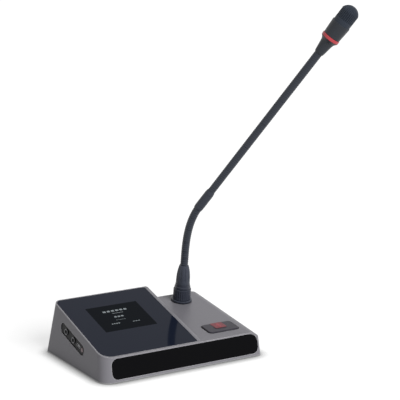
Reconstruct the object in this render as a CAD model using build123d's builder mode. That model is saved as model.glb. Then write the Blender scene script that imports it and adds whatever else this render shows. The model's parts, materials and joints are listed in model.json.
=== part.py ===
from build123d import *
import math
import os

os.makedirs("parts", exist_ok=True)

# Conference delegate unit: a wedge-shaped desk housing with a screen, a talk button and a gooseneck
# microphone plugged into its deck. Millimetres. The origin is on the table, under the middle of the
# housing. +X is the unit's right, +Y its back, +Z up.

# Desk housing
unit_width = 200.0
unit_depth = 139.0
front_height = 26.5
screen_height = 59.5
deck_height = 43.3
pad_lift = 1.2
side_draft = 4.0
front_draft = 7.4
back_draft = 14.0
front_left_radius = 14.0
front_right_radius = 8.0
rear_radius = 8.0
deck_roll = 15.0
wall = 2.5
fit_gap = 0.15
overrun = 10.0

# Raised screen section
deck_width = 80.1
rim_roll = 6.5
step_draft = 6.0

# Screen glass and display, in the plane of the screen
glass_thickness = 1.4
glass_side_margin = 1.5
glass_front_margin = 2.5
glass_rear_margin = 1.3
glass_right_margin = 1.2
glass_sharp_radius = 2.0
display_margin = 28.3
display_length = 51.3
display_shift = 1.85
display_lift = 10.6
display_border = 3.6
display_thickness = 1.1
backlight_thickness = 4.0
frame_lip = 4.0
frame_height = 5.6
frame_lug = 8.0
frame_lug_thickness = 2.4
frame_lug_inset = 8.0
frame_boss_radius = 2.8
frame_screw_length = 5.0

# Front fascia
fascia_depth = 1.2
fascia_low = 2.8
fascia_high = 25.0
fascia_left = 11.5
fascia_right = 5.8
fascia_left_radius = 6.8
fascia_top_radius = 11.5
fascia_low_radius = 7.5

# Talk button, in the plane of the deck
button_width = 38.4
button_length = 21.0
button_radius = 4.2
button_inset = 39.0
button_rise = 24.8
button_proud = 1.2
button_travel = 1.2
button_top = 2.0
button_edge = 0.7
button_wall = 1.4
button_flange = 0.7
button_flange_height = 1.2
button_gap = 0.25
bezel_width = 0.9
bezel_lip = 2.4
bezel_lip_height = 1.2
bezel_post_radius = 1.0
bezel_depth = 5.4
lamp_width = 11.0
lamp_length = 8.5
lamp_skew_share = 0.12
lamp_corner = 1.0
lamp_x = 0.9
lamp_rise = 3.7
lamp_depth = 1.2
lamp_stem_radius = 1.3
switch_size = 6.0
switch_height = 4.0
plunger_radius = 1.7
plunger_reach = 1.0
plunger_gap = 0.2
button_board_gap = 0.5
button_board_thickness = 1.6

# Side port strip, on the left wall
strip_length = 58.0
strip_width = 12.0
strip_y = 5.7
strip_z = 30.4
strip_recess = 0.8
strip_flange = 1.6
strip_flange_height = 1.2
shelf_thickness = 1.2
shelf_length = 15.0
shelf_width = 40.0
side_board_thickness = 1.2
side_board_overhang = 6.0
jack_bore_radius = 1.8
jack_bore_length = 14.0
jack_radius = 3.3
jack_rim_radius = 3.7
jack_rim_height = 0.5
jack_end_wall = 1.2
jack_shares = (0.534, -0.086)
port_share = -0.503
port_width = 8.0
port_height = 3.0
port_depth = 6.0
port_metal = 0.4
port_corner = 0.8
port_tongue_width = 5.6
port_tongue_height = 0.7
key_share = -0.8
key_radius = 2.3
key_proud = 0.3
key_travel = 0.5
key_collar = 0.6
key_collar_height = 0.7
key_gap = 0.2
side_switch_width = 4.4
side_switch_height = 4.6
side_switch_depth = 2.6

# Bottom cover, rubber pad and screws
cover_thickness = 2.0
cover_gap = 0.3
pad_seat = 0.8
pad_edge = 0.5
pad_inset_x = 22.0
pad_inset_y = 25.0
pad_radius = 9.0
boss_radius = 3.6
screw_shank_radius = 1.4
screw_hole_radius = 1.5
screw_head_radius = 2.6
screw_head_height = 1.1
screw_length = 9.0
boss_inset_x = 9.0
boss_inset_front = 15.0
boss_inset_back = 17.0

# Main board and rear sockets
board_left_gap = 3.9
board_right_gap = 31.9
board_front_inset = 35.5
board_back_inset = 15.5
board_thickness = 1.6
board_lift = 6.0
board_notch_gap = 1.0
board_screw_length = 5.0
standoff_radius = 3.0
standoff_inset = 5.0
socket_width = 16.0
socket_height = 13.5
socket_length = 21.0
socket_spacing = 18.0
socket_inset = 41.0
socket_mouth_width = 11.8
socket_mouth_height = 7.0
socket_mouth_depth = 13.0
socket_mouth_lift = 1.6
latch_width = 6.2
latch_height = 3.2
socket_setback = 0.3
socket_gap = 0.3
chip_size = 14.0
chip_height = 1.8
memory_width = 9.0
capacitor_radius = 4.0
capacitor_height = 9.0
link_plug_width = 22.0
link_plug_length = 5.0
link_plug_height = 6.0
chip_share_x = -0.15
memory_share_x = 0.05
capacitor_share_x = 0.3
capacitor_share_y = 0.28
link_plug_share_y = -0.38

# Microphone socket in the deck
mic_inset = 40.3
mic_back_inset = 19.3
flange_radius = 11.9
flange_height = 3.0
flange_chamfer = 0.9
flange_bore_radius = 7.2
socket_body_radius = 8.0
socket_body_length = 16.0
socket_nut_radius = 11.0
socket_nut_height = 3.0
pin_radius = 0.8
pin_length = 8.0
pin_circle = 3.6
pin_count = 3
pin_gap = 0.15

# Microphone plug, above the socket flange
ring_height = 12.6
ring_radius = 10.1
ring_flute_count = 24
ring_flute_radius = 0.55
ring_gap = 0.15
ring_lip_height = 1.0
plug_spigot_radius = 7.0
plug_spigot_length = 2.6
plug_core_radius = 8.1
plug_lip_radius = 8.9
plug_lip_height = 0.8
shoulder_radius = 9.1
shoulder_height = 3.0
neckdown_radius = 8.4
neckdown_height = 2.4
grip_base_radius = 8.1
grip_top_radius = 5.3
grip_height = 22.6
grip_profile_shares = ((0, 0), (0.42, 0.1), (0.71, 0.38), (1, 1))
grip_flute_count = 10
grip_flute_radius = 0.9
grip_flute_depth = 0.4
grip_flute_low = 4.0

# Gooseneck
bend_azimuth = -36.0
rest_bend_angle = 31.6
bend_shares = (0.1, 0.2, 0.3, 0.4)
low_radius = 4.45
high_radius = 4.45
low_lead = 5.6
swing_pitch = 7.7
swing_count = 2
low_pitch = 15.3
high_lead = 16.0
high_pitch = 33.0
high_count = 6
high_tail = 17.0
low_tail = 3.5
neck_bore_radius = 1.5
ball_share = 0.5
ball_gap = 0.3
joint_clear = 1.6
sleeve_length = 26.4
sleeve_radius = 5.15
sleeve_overlap = 7.0
sleeve_edge = 0.6

# Microphone head
cone_length = 15.9
cone_low_radius = 5.6
cone_high_radius = 7.5
cone_seat = 8.0
flare_length = 3.6
head_ring_radius = 10.6
head_ring_height = 3.4
head_ring_wall = 2.2
head_spigot_reach = 3.0
head_body_length = 17.4
head_low_radius = 9.9
head_high_radius = 11.0
head_wall = 1.4
grille_radius = 10.2
grille_length = 22.5
grille_wall = 1.2
grille_dome_radius = 11.0
grille_slot_count = 16
grille_slot_width = 1.1
grille_slot_start = 9.0
grille_slot_inner_radius = 4.6
capsule_height = 8.0
capsule_edge = 0.5


def tan(angle):
    return math.tan(math.radians(angle))


def cos(angle):
    return math.cos(math.radians(angle))


def sin(angle):
    return math.sin(math.radians(angle))


def save(piece, name):
    piece.part.label = name
    export_step(piece.part, f"parts/{name}.step")


# Lines that the housing's faces follow
def side_at(level):
    return unit_width / 2 - (level - pad_lift) * tan(side_draft)


def front_at(level):
    return -unit_depth / 2 + (level - pad_lift) * tan(front_draft)


def back_at(level):
    return unit_depth / 2 - (level - pad_lift) * tan(back_draft)


edge_z = pad_lift + front_height
edge_y = front_at(edge_z)
screen_top_z = pad_lift + screen_height
deck_top_z = pad_lift + deck_height
screen_run = back_at(screen_top_z) - edge_y
deck_run = back_at(deck_top_z) - edge_y
screen_slope = math.degrees(math.atan2(screen_top_z - edge_z, screen_run))
deck_slope = math.degrees(math.atan2(deck_top_z - edge_z, deck_run))
screen_length = screen_run / cos(screen_slope)
deck_length = deck_run / cos(deck_slope)
rim_x = unit_width / 2 - deck_width
screen_plane = Plane((0, edge_y, edge_z), (1, 0, 0), (0, -sin(screen_slope), cos(screen_slope)))
deck_plane = Plane((0, edge_y, edge_z), (1, 0, 0), (0, -sin(deck_slope), cos(deck_slope)))

# Slices square to the raised section's right edge and to the deck's right edge
rim_section = Plane(screen_plane.origin, screen_plane.x_dir, -screen_plane.y_dir)
right_normal = Vector(cos(side_draft), 0, sin(side_draft))
roll_along = deck_plane.z_dir.cross(right_normal).normalized()
roll_section = Plane((side_at(edge_z), edge_y, edge_z), deck_plane.z_dir.cross(-roll_along), -roll_along)
roll_lean = math.degrees(math.asin(right_normal.dot(deck_plane.z_dir)))


def drafted_block(inset, low, high):
    # The housing's four leaning walls with rounded upright corners, cut level above and below.
    with BuildPart() as block:
        with BuildSketch(Plane.YZ):
            with BuildLine():
                Polyline(
                    (front_at(low) + inset, low), (back_at(low) - inset, low),
                    (back_at(high) - inset, high), (front_at(high) + inset, high), close=True,
                )
            make_face()
        extrude(amount=unit_width, both=True)
        with BuildSketch(Plane.XZ):
            with BuildLine():
                Polyline(
                    (side_at(low) - inset, low), (side_at(high) - inset, high),
                    (inset - side_at(high), high), (inset - side_at(low), low), close=True,
                )
            make_face()
        extrude(amount=unit_depth, both=True, mode=Mode.INTERSECT)
        for side, y, radius in (
            (-1, front_at(low), front_left_radius), (1, front_at(low), front_right_radius),
            (1, back_at(low), rear_radius), (-1, back_at(low), rear_radius),
        ):
            uprights = block.edges().filter_by(lambda edge: abs(edge.tangent_at(0).Z) > sin(45))
            fillet(uprights.sort_by_distance((side * side_at(low), y, low))[0], radius - inset)
    return block.part


def edge_cutter(section, corner_x, inset, lean, radius):
    # All that lies outside a rounded long edge: flat on top, with a wall below it that leans outwards.
    x = corner_x + inset * tan(lean) - inset / cos(lean)
    with BuildPart() as cutter:
        with BuildSketch(section) as outside:
            with Locations((x, -inset)):
                Rectangle(2 * unit_width, 2 * unit_width)
            with BuildLine():
                Polyline(
                    (x, -inset), (x - unit_width, -inset), (x - unit_width, -inset - unit_width),
                    (x + unit_width * tan(lean), -inset - unit_width), close=True,
                )
            make_face(mode=Mode.SUBTRACT)
            fillet(outside.vertices().sort_by_distance((x, -inset, 0))[0], radius - inset)
        extrude(amount=2 * unit_depth, both=True)
    return cutter.part


def housing_form(inset, low):
    # The closed outer form, or the hollow inside it.
    block = drafted_block(inset, low, screen_top_z + overrun)
    deck_cutter = edge_cutter(roll_section, 0, inset, roll_lean, deck_roll)
    rim_corner = rim_x + rim_roll * tan((90 - step_draft) / 2)
    rim_cutter = edge_cutter(rim_section, rim_corner, inset, step_draft, rim_roll)
    with BuildPart() as deck:
        add(block)
        split(bisect_by=deck_plane.offset(-inset), keep=Keep.BOTTOM)
        add(deck_cutter, mode=Mode.SUBTRACT)
    with BuildPart() as screen:
        add(block)
        split(bisect_by=screen_plane.offset(-inset), keep=Keep.BOTTOM)
        add(rim_cutter, mode=Mode.SUBTRACT)
    with BuildPart() as form:
        add(deck.part)
        add(screen.part)
    return form.part


def glass_outline(plane, clearance):
    # The glass follows the housing's left side and its corners.
    left_front = -side_at(edge_z) + glass_side_margin - clearance
    left_rear = -side_at(screen_top_z) + glass_side_margin - clearance
    right = rim_x - glass_right_margin + clearance
    front = glass_front_margin - clearance
    rear = screen_length - glass_rear_margin + clearance
    corners = {
        (left_front, front): front_left_radius - glass_side_margin,
        (right, front): glass_sharp_radius,
        (right, rear): glass_sharp_radius,
        (left_rear, rear): rear_radius - glass_side_margin,
    }
    with BuildSketch(plane) as outline:
        with BuildLine():
            Polyline(*corners, close=True)
        make_face()
        for (x, y), radius in corners.items():
            fillet(outline.vertices().sort_by_distance((x, y, 0))[0], radius + clearance)
    return outline.sketch


def fascia_outline(clearance):
    # The strip's outline seen from the front, larger corners to the right.
    low = pad_lift + fascia_low - clearance
    high = pad_lift + fascia_high + clearance
    left = -unit_width / 2 + fascia_left - clearance
    right = unit_width / 2 - fascia_right + clearance
    corners = {
        (left, low): fascia_left_radius,
        (right, low): fascia_low_radius,
        (right, high): fascia_top_radius,
        (left, high): fascia_left_radius,
    }
    with BuildSketch(Plane.XZ) as outline:
        with BuildLine():
            Polyline(*corners, close=True)
        make_face()
        for (x, y), radius in corners.items():
            fillet(outline.vertices().sort_by_distance((x, y, 0))[0], radius + clearance)
    return outline.sketch


def fascia_form(clearance):
    outline = fascia_outline(clearance)
    outer = drafted_block(0, pad_lift, screen_top_z)
    inner = drafted_block(fascia_depth + clearance, pad_lift - overrun, screen_top_z + overrun)
    with BuildPart() as strip:
        extrude(outline, amount=unit_depth)
        add(outer, mode=Mode.INTERSECT)
        add(inner, mode=Mode.SUBTRACT)
    return strip.part


# Places on the screen and the deck
display_x = (rim_x - unit_width / 2) / 2 + display_shift
display_width = unit_width - deck_width - 2 * display_margin
display_rise = screen_length / 2 + display_lift
button_origin = deck_plane.from_local_coords((unit_width / 2 - button_inset, button_rise, 0))
button_plane = Plane(button_origin, deck_plane.x_dir, deck_plane.z_dir)
mic_origin = deck_plane.from_local_coords((unit_width / 2 - mic_inset, deck_length - mic_back_inset, 0))
mic_plane = Plane(
    mic_origin,
    deck_plane.x_dir * cos(bend_azimuth) + deck_plane.y_dir * sin(bend_azimuth),
    deck_plane.z_dir,
)

# Place of the side strip: its plane lies on the left wall, with local x along the strip
strip_x = -side_at(strip_z)
strip_out = Vector(-cos(side_draft), 0, sin(side_draft))
strip_along = Vector(0, cos(screen_slope), sin(screen_slope))
strip_plane = Plane((strip_x, strip_y, strip_z), strip_along - strip_out * strip_along.dot(strip_out), strip_out)

# Boss places under the housing
boss_x = side_at(pad_lift) - wall - boss_inset_x
boss_places = [
    (side * boss_x, y)
    for side in (-1, 1)
    for y in (-unit_depth / 2 + boss_inset_front, unit_depth / 2 - boss_inset_back)
] + [(0, unit_depth / 2 - boss_inset_back), (0, -unit_depth / 2 + boss_inset_front)]
cover_top = pad_lift + cover_thickness

board_top = cover_top + board_lift + board_thickness
board_left = boss_radius + board_left_gap - boss_x
board_right = boss_x - boss_radius - board_right_gap
board_front = board_front_inset - unit_depth / 2
board_back = unit_depth / 2 - board_back_inset
board_width = board_right - board_left
board_length = board_back - board_front
board_x = (board_left + board_right) / 2
board_y = (board_front + board_back) / 2
socket_x = board_left + socket_inset
jack_places = [share * strip_length / 2 for share in jack_shares]
port_place = port_share * strip_length / 2
key_place = key_share * strip_length / 2
window_width = display_width + 2 * display_border
window_length = display_length + 2 * display_border
frame_width = window_width + 2 * frame_lip
frame_length = window_length + 2 * frame_lip
lug_places = [
    (display_x + side * (frame_width + frame_lug) / 2, display_rise + end * (frame_length / 2 - frame_lug_inset))
    for side in (-1, 1)
    for end in (-1, 1)
]
socket_face_y = back_at(board_top + socket_height) - socket_setback
bezel_outer_width = button_width + 2 * (button_gap + bezel_width)
bezel_outer_length = button_length + 2 * (button_gap + bezel_width)
bezel_outer_radius = button_radius + button_gap + bezel_width

housing_solid = housing_form(0, pad_lift)
hollow_solid = housing_form(wall, pad_lift - overrun)
half_solid = housing_form(wall / 2, pad_lift)
glass_recess = glass_outline(screen_plane.offset(-glass_thickness), fit_gap)
fascia_recess = fascia_form(fit_gap)

# Top housing
with BuildPart() as boss_block:
    with BuildSketch(Plane.XY.offset(cover_top)):
        with Locations(*boss_places):
            Circle(boss_radius)
    extrude(amount=screen_height)
    add(half_solid, mode=Mode.INTERSECT)

with BuildPart() as top_housing:
    add(housing_solid)
    add(hollow_solid, mode=Mode.SUBTRACT)
    add(boss_block.part)
    with BuildSketch(Plane.XY.offset(cover_top)):
        with Locations(*boss_places):
            Circle(screw_hole_radius)
    extrude(amount=screw_length, mode=Mode.SUBTRACT)
    with BuildSketch(screen_plane.offset(-glass_thickness - fit_gap)):
        with Locations(*lug_places):
            Circle(frame_boss_radius)
    extrude(amount=glass_thickness + fit_gap + frame_lug_thickness - wall - frame_height)
    extrude(glass_recess, amount=overrun, mode=Mode.SUBTRACT)
    with BuildSketch(screen_plane):
        with Locations((display_x, display_rise)):
            Rectangle(window_width + 2 * fit_gap, window_length + 2 * fit_gap)
    extrude(amount=-wall - overrun, mode=Mode.SUBTRACT)
    with BuildSketch(screen_plane.offset(-wall - frame_height)):
        with Locations(*lug_places):
            Circle(screw_shank_radius)
    extrude(amount=frame_screw_length, mode=Mode.SUBTRACT)
    add(fascia_recess, mode=Mode.SUBTRACT)
    with BuildSketch(button_plane):
        RectangleRounded(
            bezel_outer_width + 2 * fit_gap, bezel_outer_length + 2 * fit_gap, bezel_outer_radius + fit_gap
        )
    extrude(amount=-wall - overrun, mode=Mode.SUBTRACT)
    with BuildSketch(mic_plane):
        Circle(socket_body_radius + fit_gap)
    extrude(amount=-wall - overrun, mode=Mode.SUBTRACT)
    with BuildSketch(strip_plane):
        SlotOverall(strip_length + 2 * fit_gap, strip_width + 2 * fit_gap)
    extrude(amount=-wall - overrun, mode=Mode.SUBTRACT)
    with BuildSketch(Plane.XZ.offset(-unit_depth / 2)):
        with Locations((socket_x, board_top + socket_height / 2)):
            Rectangle(socket_spacing + socket_width + 2 * socket_gap, socket_height + 2 * socket_gap)
    extrude(amount=2 * overrun, both=True, mode=Mode.SUBTRACT)
save(top_housing, "top_housing")

# Bottom cover, with a recess for the rubber pad and standoffs for the main board
pad_width = unit_width - 2 * pad_inset_x
pad_length = unit_depth - 2 * pad_inset_y
standoff_places = [
    (board_x + side * (board_width / 2 - standoff_inset), board_y + end * (board_length / 2 - standoff_inset))
    for side in (-1, 1)
    for end in (-1, 1)
]
cover_plate = drafted_block(wall + cover_gap, pad_lift, cover_top)
with BuildPart() as bottom_cover:
    add(cover_plate)
    with BuildSketch(Plane.XY.offset(cover_top)):
        with Locations(*standoff_places):
            Circle(standoff_radius)
    extrude(amount=board_lift)
    with BuildSketch(Plane.XY.offset(cover_top + board_lift)):
        with Locations(*standoff_places):
            Circle(screw_shank_radius)
    extrude(amount=-board_screw_length, mode=Mode.SUBTRACT)
    with BuildSketch(Plane.XY.offset(pad_lift)):
        RectangleRounded(pad_width + 2 * fit_gap, pad_length + 2 * fit_gap, pad_radius + fit_gap)
    extrude(amount=pad_seat, mode=Mode.SUBTRACT)
    with BuildSketch(Plane.XY.offset(pad_lift)):
        with Locations(*boss_places):
            Circle(screw_head_radius + fit_gap)
    extrude(amount=screw_head_height, mode=Mode.SUBTRACT)
    with BuildSketch(Plane.XY.offset(pad_lift)):
        with Locations(*boss_places):
            Circle(screw_hole_radius)
    extrude(amount=cover_thickness, mode=Mode.SUBTRACT)
save(bottom_cover, "bottom_cover")

with BuildPart() as base_pad:
    with BuildSketch():
        RectangleRounded(pad_width, pad_length, pad_radius)
    extrude(amount=pad_lift + pad_seat)
    chamfer(base_pad.faces().sort_by(Axis.Z)[0].edges(), pad_edge)
save(base_pad, "base_pad")


def screw_set(plane, places, shank_length):
    # Pan-head screws that point into the plane, their heads standing on it.
    with BuildPart() as screws:
        with BuildSketch(plane):
            with Locations(*places):
                Circle(screw_head_radius)
        extrude(amount=screw_head_height)
        with BuildSketch(plane):
            with Locations(*places):
                Circle(screw_shank_radius)
        extrude(amount=-shank_length)
    return screws


head_seat = Plane((0, 0, pad_lift + screw_head_height), (1, 0, 0), (0, 0, -1))
cover_screws = screw_set(head_seat, [(x, -y) for x, y in boss_places], screw_length - screw_head_height)
save(cover_screws, "cover_screws")

# Screen glass, display and the frame that holds the display from behind
with BuildPart() as glass_panel:
    extrude(glass_outline(screen_plane.offset(-glass_thickness), 0), amount=glass_thickness)
save(glass_panel, "glass_panel")

with BuildPart() as display_panel:
    with BuildSketch(screen_plane.offset(-glass_thickness)):
        with Locations((display_x, display_rise)):
            Rectangle(window_width, window_length)
    extrude(amount=-display_thickness)
    with BuildSketch(screen_plane.offset(-glass_thickness - display_thickness)):
        with Locations((display_x, display_rise)):
            Rectangle(display_width, display_length)
    extrude(amount=-backlight_thickness)
save(display_panel, "display_panel")

with BuildPart() as display_frame:
    with BuildSketch(screen_plane.offset(-wall)):
        with Locations((display_x, display_rise)):
            Rectangle(frame_width, frame_length)
    extrude(amount=-frame_height)
    with BuildSketch(screen_plane.offset(-wall)):
        with Locations((display_x, display_rise)):
            Rectangle(display_width + 2 * fit_gap, display_length + 2 * fit_gap)
    extrude(amount=-backlight_thickness, mode=Mode.SUBTRACT)
    with BuildSketch(screen_plane.offset(-wall - frame_height)):
        with Locations(*lug_places):
            Rectangle(frame_lug, frame_lug)
    extrude(amount=frame_lug_thickness)
    with BuildSketch(screen_plane.offset(-wall - frame_height)):
        with Locations(*lug_places):
            Circle(screw_hole_radius)
    extrude(amount=frame_lug_thickness, mode=Mode.SUBTRACT)
save(display_frame, "display_frame")

lug_plane = screen_plane.offset(-wall - frame_height)
lug_seat = Plane(lug_plane.origin, lug_plane.x_dir, -lug_plane.z_dir)
frame_screws = screw_set(lug_seat, [(x, -y) for x, y in lug_places], frame_screw_length)
save(frame_screws, "frame_screws")

# Front fascia, set into the front wall and round the start of its corners
front_strip = fascia_form(0)
with BuildPart() as front_fascia:
    add(front_strip)
save(front_fascia, "front_fascia")

# Side strip with two headphone jacks, a service port and a key, and the small board behind it
strip_face = strip_plane.offset(-strip_recess)
strip_back = strip_plane.offset(-wall - strip_flange_height)
jack_body_depth = jack_bore_length + jack_end_wall - (wall + strip_flange_height - strip_recess + jack_rim_height)
key_top = strip_recess - key_proud
collar_low = wall + strip_flange_height + key_gap + key_collar_height
with BuildPart() as side_port_strip:
    with BuildSketch(strip_face):
        SlotOverall(strip_length, strip_width)
    extrude(amount=strip_recess - wall)
    with BuildSketch(strip_plane.offset(-wall)):
        SlotOverall(strip_length + 2 * strip_flange, strip_width + 2 * strip_flange)
    extrude(amount=-strip_flange_height)
    with BuildSketch(strip_back):
        with Locations((0, -jack_radius - side_board_thickness - shelf_thickness / 2)):
            Rectangle(shelf_width, shelf_thickness)
    extrude(amount=-shelf_length)
    with BuildSketch(strip_plane):
        for place in jack_places:
            with Locations((place, 0)):
                Circle(jack_radius + fit_gap)
        with Locations((port_place, 0)):
            RectangleRounded(port_width + 2 * fit_gap, port_height + 2 * fit_gap, port_corner + fit_gap)
        with Locations((key_place, 0)):
            Circle(key_radius + key_gap)
    extrude(amount=-wall - strip_flange_height, mode=Mode.SUBTRACT)
save(side_port_strip, "side_port_strip")

for jack_name, place in zip(("rear", "front"), jack_places):
    with BuildPart() as headphone_jack:
        with BuildSketch(strip_face):
            with Locations((place, 0)):
                Circle(jack_rim_radius)
        extrude(amount=jack_rim_height)
        with BuildSketch(strip_face):
            with Locations((place, 0)):
                Circle(jack_radius)
        extrude(amount=strip_recess - wall - strip_flange_height)
        with BuildSketch(strip_back):
            with Locations((place, 0)):
                Rectangle(2 * jack_radius, 2 * jack_radius)
        extrude(amount=-jack_body_depth)
        with BuildSketch(strip_face.offset(jack_rim_height)):
            with Locations((place, 0)):
                Circle(jack_bore_radius)
        extrude(amount=-jack_bore_length, mode=Mode.SUBTRACT)
    save(headphone_jack, f"headphone_jack_{jack_name}")

with BuildPart() as service_port:
    with BuildSketch(strip_face):
        with Locations((port_place, 0)):
            RectangleRounded(port_width, port_height, port_corner)
    extrude(amount=-port_depth)
    with BuildSketch(strip_face):
        with Locations((port_place, 0)):
            RectangleRounded(port_width - 2 * port_metal, port_height - 2 * port_metal, port_corner - port_metal)
    extrude(amount=port_metal - port_depth, mode=Mode.SUBTRACT)
    with BuildSketch(strip_face.offset(-port_metal)):
        with Locations((port_place, 0)):
            Rectangle(port_tongue_width, port_tongue_height)
    extrude(amount=port_metal - port_depth)
save(service_port, "service_port")

with BuildPart() as side_key:
    with BuildSketch(strip_plane.offset(-key_top)):
        with Locations((key_place, 0)):
            Circle(key_radius)
    extrude(amount=key_top - collar_low)
    with BuildSketch(strip_plane.offset(-collar_low)):
        with Locations((key_place, 0)):
            Circle(key_radius + key_collar)
    extrude(amount=key_collar_height)
save(side_key, "side_key")

side_board_width = strip_length / 2 - side_board_overhang - key_place
side_board_x = key_place - side_switch_width / 2 + side_board_width / 2
with BuildPart() as side_board:
    with BuildSketch(strip_back):
        with Locations((side_board_x, -jack_radius - side_board_thickness / 2)):
            Rectangle(side_board_width, side_board_thickness)
    extrude(amount=-shelf_length)
save(side_board, "side_board")

with BuildPart() as side_switch:
    with BuildSketch(strip_plane.offset(-collar_low - key_travel - key_gap)):
        with Locations((key_place, side_switch_height / 2 - jack_radius)):
            Rectangle(side_switch_width, side_switch_height)
    extrude(amount=-side_switch_depth)
save(side_switch, "side_switch")

# Main board on its standoffs, with the two link sockets at the rear
notch_width = 2 * (boss_radius + board_notch_gap)
with BuildPart() as main_board:
    with BuildSketch(Plane.XY.offset(cover_top + board_lift)):
        with Locations((board_x, board_y)):
            Rectangle(board_width, board_length)
        with Locations((0, unit_depth / 2 - boss_inset_back + boss_radius)):
            Rectangle(notch_width, notch_width + 2 * boss_radius, mode=Mode.SUBTRACT)
        with Locations(*standoff_places):
            Circle(screw_hole_radius, mode=Mode.SUBTRACT)
    extrude(amount=board_thickness)
save(main_board, "main_board")

board_screws = screw_set(Plane.XY.offset(board_top), standoff_places, board_screw_length)
save(board_screws, "board_screws")

with BuildPart() as board_chips:
    with BuildSketch(Plane.XY.offset(board_top)):
        with Locations((board_x + chip_share_x * board_width, board_y)):
            Rectangle(chip_size, chip_size)
        with Locations((board_x + memory_share_x * board_width, board_y)):
            Rectangle(memory_width, chip_size)
    extrude(amount=chip_height)
    with BuildSketch(Plane.XY.offset(board_top)):
        with Locations((board_x + capacitor_share_x * board_width, board_y + capacitor_share_y * board_length)):
            Circle(capacitor_radius)
    extrude(amount=capacitor_height)
    with BuildSketch(Plane.XY.offset(board_top)):
        with Locations((board_x, board_y + link_plug_share_y * board_length)):
            Rectangle(link_plug_width, link_plug_length)
    extrude(amount=link_plug_height)
save(board_chips, "board_chips")

for socket_name, side in (("in", -1), ("out", 1)):
    socket_face = Plane((socket_x + side * socket_spacing / 2, socket_face_y, board_top), (-1, 0, 0), (0, 1, 0))
    mouth_middle = socket_mouth_lift + latch_height + socket_mouth_height / 2
    with BuildPart() as rear_socket:
        with BuildSketch(socket_face):
            with Locations((0, socket_height / 2)):
                Rectangle(socket_width, socket_height)
        extrude(amount=-socket_length)
        with BuildSketch(socket_face):
            with Locations((0, mouth_middle)):
                Rectangle(socket_mouth_width, socket_mouth_height)
            with Locations((0, socket_mouth_lift + latch_height)):
                Rectangle(latch_width, 2 * latch_height)
        extrude(amount=-socket_mouth_depth, mode=Mode.SUBTRACT)
    save(rear_socket, f"rear_socket_{socket_name}")

# Talk button in its bezel, with a red lens, over a switch on a board of its own
cap_low = bezel_depth + plunger_gap + button_flange_height
button_board_top = cap_low + button_travel + button_board_gap
lip_width = bezel_outer_width + 2 * bezel_lip
lip_length = bezel_outer_length + 2 * bezel_lip
lip_radius = bezel_outer_radius + bezel_lip
post_places = [
    (x * (lip_width - bezel_lip) / 2, y * button_length / 4) for x in (-1, 1) for y in (-1, 1)
]
with BuildPart() as button_bezel:
    with BuildSketch(button_plane):
        RectangleRounded(bezel_outer_width, bezel_outer_length, bezel_outer_radius)
    extrude(amount=-bezel_depth)
    with BuildSketch(button_plane.offset(-wall)):
        RectangleRounded(lip_width, lip_length, lip_radius)
    extrude(amount=-bezel_lip_height)
    with BuildSketch(button_plane.offset(-wall - bezel_lip_height)):
        with Locations(*post_places):
            Circle(bezel_post_radius)
    extrude(amount=wall + bezel_lip_height - button_board_top)
    with BuildSketch(button_plane):
        RectangleRounded(button_width + 2 * button_gap, button_length + 2 * button_gap, button_radius + button_gap)
    extrude(amount=-bezel_depth, mode=Mode.SUBTRACT)
save(button_bezel, "button_bezel")


def lamp_outline(plane, clearance):
    # A rounded three-cornered mark that points to the left.
    corners = (
        (-lamp_width / 2, lamp_skew_share * lamp_length),
        (lamp_width / 2, -lamp_length / 2),
        (lamp_width / 2, lamp_length / 2),
    )
    with BuildSketch(plane) as outline:
        with BuildLine():
            Polyline(*[(lamp_x + x, lamp_rise + y) for x, y in corners], close=True)
        make_face()
        fillet(outline.vertices(), lamp_corner)
        offset(amount=clearance)
    return outline.sketch


lamp_top = button_plane.offset(button_proud)
lamp_pocket = lamp_outline(lamp_top, fit_gap)
lamp_mark = lamp_outline(lamp_top, 0)
with BuildPart() as talk_button:
    with BuildSketch(button_plane.offset(-cap_low)):
        RectangleRounded(button_width, button_length, button_radius)
    extrude(amount=cap_low + button_proud)
    chamfer(talk_button.faces().sort_by(Axis(button_plane.origin, button_plane.z_dir))[-1].edges(), button_edge)
    with BuildSketch(button_plane.offset(-cap_low)):
        RectangleRounded(
            button_width + 2 * button_flange, button_length + 2 * button_flange, button_radius + button_flange
        )
    extrude(amount=button_flange_height)
    with BuildSketch(button_plane.offset(-cap_low)):
        RectangleRounded(button_width - 2 * button_wall, button_length - 2 * button_wall, button_radius - button_wall)
    extrude(amount=cap_low + button_proud - button_top, mode=Mode.SUBTRACT)
    extrude(lamp_pocket, amount=-lamp_depth, mode=Mode.SUBTRACT)
    with BuildSketch(lamp_top):
        with Locations((lamp_x + lamp_width / 4, lamp_rise)):
            Circle(lamp_stem_radius + fit_gap)
    extrude(amount=-button_top, mode=Mode.SUBTRACT)
save(talk_button, "talk_button")

with BuildPart() as button_lamp:
    extrude(lamp_mark, amount=-lamp_depth)
    with BuildSketch(lamp_top):
        with Locations((lamp_x + lamp_width / 4, lamp_rise)):
            Circle(lamp_stem_radius)
    extrude(amount=-button_top)
save(button_lamp, "button_lamp")

with BuildPart() as button_board:
    with BuildSketch(button_plane.offset(-button_board_top)):
        RectangleRounded(lip_width, lip_length, lip_radius)
    extrude(amount=-button_board_thickness)
save(button_board, "button_board")

switch_top = button_board_top - switch_height
with BuildPart() as talk_switch:
    with BuildSketch(button_plane.offset(-button_board_top)):
        Rectangle(switch_size, switch_size)
    extrude(amount=switch_height)
    with BuildSketch(button_plane.offset(-switch_top)):
        Circle(plunger_radius + plunger_gap)
    extrude(amount=-plunger_reach - button_travel - plunger_gap, mode=Mode.SUBTRACT)
save(talk_switch, "talk_switch")

with BuildPart() as switch_plunger:
    with BuildSketch(button_plane.offset(button_proud - button_top)):
        Circle(plunger_radius)
    extrude(amount=button_top - button_proud - switch_top - plunger_reach)
save(switch_plunger, "switch_plunger")

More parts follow.
